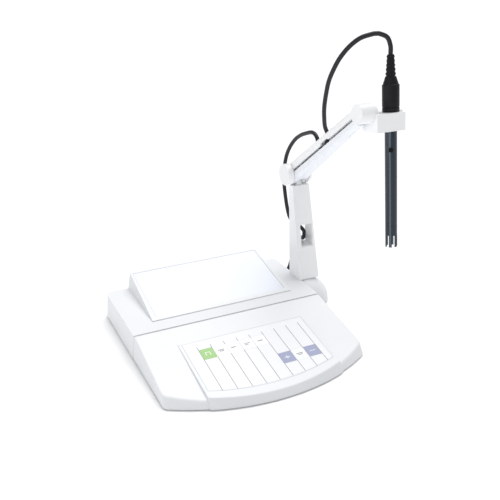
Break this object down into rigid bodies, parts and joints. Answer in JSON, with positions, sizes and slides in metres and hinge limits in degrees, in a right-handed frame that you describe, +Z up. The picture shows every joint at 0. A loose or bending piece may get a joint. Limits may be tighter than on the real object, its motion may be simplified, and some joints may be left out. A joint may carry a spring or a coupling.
{
  "type": "ph meter",
  "caption": "Bench meter with a sloping keypad, a raised display and a two-link arm that holds a pH electrode, whose cord loops back to a rear socket.",
  "frame": {"origin": "underside of the middle foot, on the table, below the seam between the front and rear covers", "axes": "+X to the right seen from the front, +Y to the rear, +Z up"},
  "size_m": [0.27, 0.298, 0.3195],
  "materials": {
    "cover_white": "fine satin texture",
    "window_film": "smooth sheet",
    "display_glass": "dark display cell",
    "keypad_film": "printed film",
    "contact_film": "thin film",
    "board_green": "coated laminate",
    "black_plastic": "satin",
    "screw_steel": "plated",
    "rubber_dark": "dull",
    "panel_grey": "satin",
    "bright_metal": "plated",
    "arm_white": "satin",
    "shaft_tint": "tinted, partly clear",
    "clear_glass": "clear",
    "cord_grey": "satin jacket",
    "key_green": "printed film",
    "key_blue": "printed film",
    "key_white": "printed film"
  },
  "bodies": {
    "base": {"bottom_cover": "cover_white", "front_cover": "cover_white", "rear_cover": "cover_white", "display_housing": "cover_white", "display_window": "window_film", "lcd_module": "display_glass", "keypad_plate": "keypad_film", "key_contacts": "contact_film", "main_board": "board_green", "board_parts": "black_plastic", "display_ribbon": "contact_film", "board_screws": "screw_steel", "cover_screws": "screw_steel", "rubber_feet": "rubber_dark", "connector_panel": "panel_grey", "bnc_socket": "bright_metal", "reference_socket": "black_plastic", "temperature_socket": "bright_metal", "power_inlet": "black_plastic", "post": "arm_white", "post_back": "arm_white", "post_screws": "screw_steel", "elbow_pins": "screw_steel", "elbow_cap_left": "arm_white", "elbow_cap_right": "arm_white", "cord_rear": "cord_grey", "cord_coil": "cord_grey", "bnc_plug": "bright_metal"},
    "upper_link": {"upper_link": "arm_white", "cord_elbow": "cord_grey"},
    "lower_link": {"lower_link": "arm_white"},
    "head": {"head_block": "arm_white", "head_pins": "screw_steel", "electrode_holder": "arm_white", "electrode_body": "shaft_tint", "inner_tube": "clear_glass", "glass_bulb": "clear_glass", "tip_guard": "shaft_tint", "fill_plug": "rubber_dark", "electrode_cap": "black_plastic", "strain_relief": "rubber_dark", "cord_loop": "cord_grey"},
    "power_key": {"power_key": "key_green"},
    "upper_key_1": {"upper_key_1": "key_white"},
    "upper_key_2": {"upper_key_2": "key_white"},
    "upper_key_3": {"upper_key_3": "key_white"},
    "upper_key_4": {"upper_key_4": "key_white"},
    "lower_key_left": {"lower_key_left": "key_blue"},
    "lower_key_middle": {"lower_key_middle": "key_white"},
    "lower_key_right": {"lower_key_right": "key_blue"}
  },
  "joints": [
    {"name": "arm_lift", "type": "hinge", "parent": "base", "child": "upper_link", "pos_m": [0.118, 0.068, 0.1558], "axis": [-1, 0, 0], "range_deg": [-34, 14], "deforming": ["cord_elbow"]},
    {"name": "lower_link_pivot", "type": "hinge", "parent": "base", "child": "lower_link", "pos_m": [0.118, 0.068, 0.1462], "axis": [-1, 0, 0], "range_deg": [-34, 14]},
    {"name": "head_level", "type": "hinge", "parent": "upper_link", "child": "head", "pos_m": [0.1105, -0.06199, 0.25164], "axis": [-1, 0, 0], "range_deg": [-14, 34], "deforming": ["cord_loop"]},
    {"name": "power_key_press", "type": "slide", "parent": "base", "child": "power_key", "axis": [0, 0.1599, -0.9871], "range_m": [0, 0.0005], "stiffness_N_per_m": 200},
    {"name": "upper_key_1_press", "type": "slide", "parent": "base", "child": "upper_key_1", "axis": [0, 0.1599, -0.9871], "range_m": [0, 0.0005], "stiffness_N_per_m": 200},
    {"name": "upper_key_2_press", "type": "slide", "parent": "base", "child": "upper_key_2", "axis": [0, 0.1599, -0.9871], "range_m": [0, 0.0005], "stiffness_N_per_m": 200},
    {"name": "upper_key_3_press", "type": "slide", "parent": "base", "child": "upper_key_3", "axis": [0, 0.1599, -0.9871], "range_m": [0, 0.0005], "stiffness_N_per_m": 200},
    {"name": "upper_key_4_press", "type": "slide", "parent": "base", "child": "upper_key_4", "axis": [0, 0.1599, -0.9871], "range_m": [0, 0.0005], "stiffness_N_per_m": 200},
    {"name": "lower_key_left_press", "type": "slide", "parent": "base", "child": "lower_key_left", "axis": [0, 0.1599, -0.9871], "range_m": [0, 0.0005], "stiffness_N_per_m": 200},
    {"name": "lower_key_middle_press", "type": "slide", "parent": "base", "child": "lower_key_middle", "axis": [0, 0.1599, -0.9871], "range_m": [0, 0.0005], "stiffness_N_per_m": 200},
    {"name": "lower_key_right_press", "type": "slide", "parent": "base", "child": "lower_key_right", "axis": [0, 0.1599, -0.9871], "range_m": [0, 0.0005], "stiffness_N_per_m": 200}
  ],
  "couplings": [
    {"joint": "lower_link_pivot", "follows": "arm_lift", "ratio": 1},
    {"joint": "head_level", "follows": "arm_lift", "ratio": -1}
  ]
}
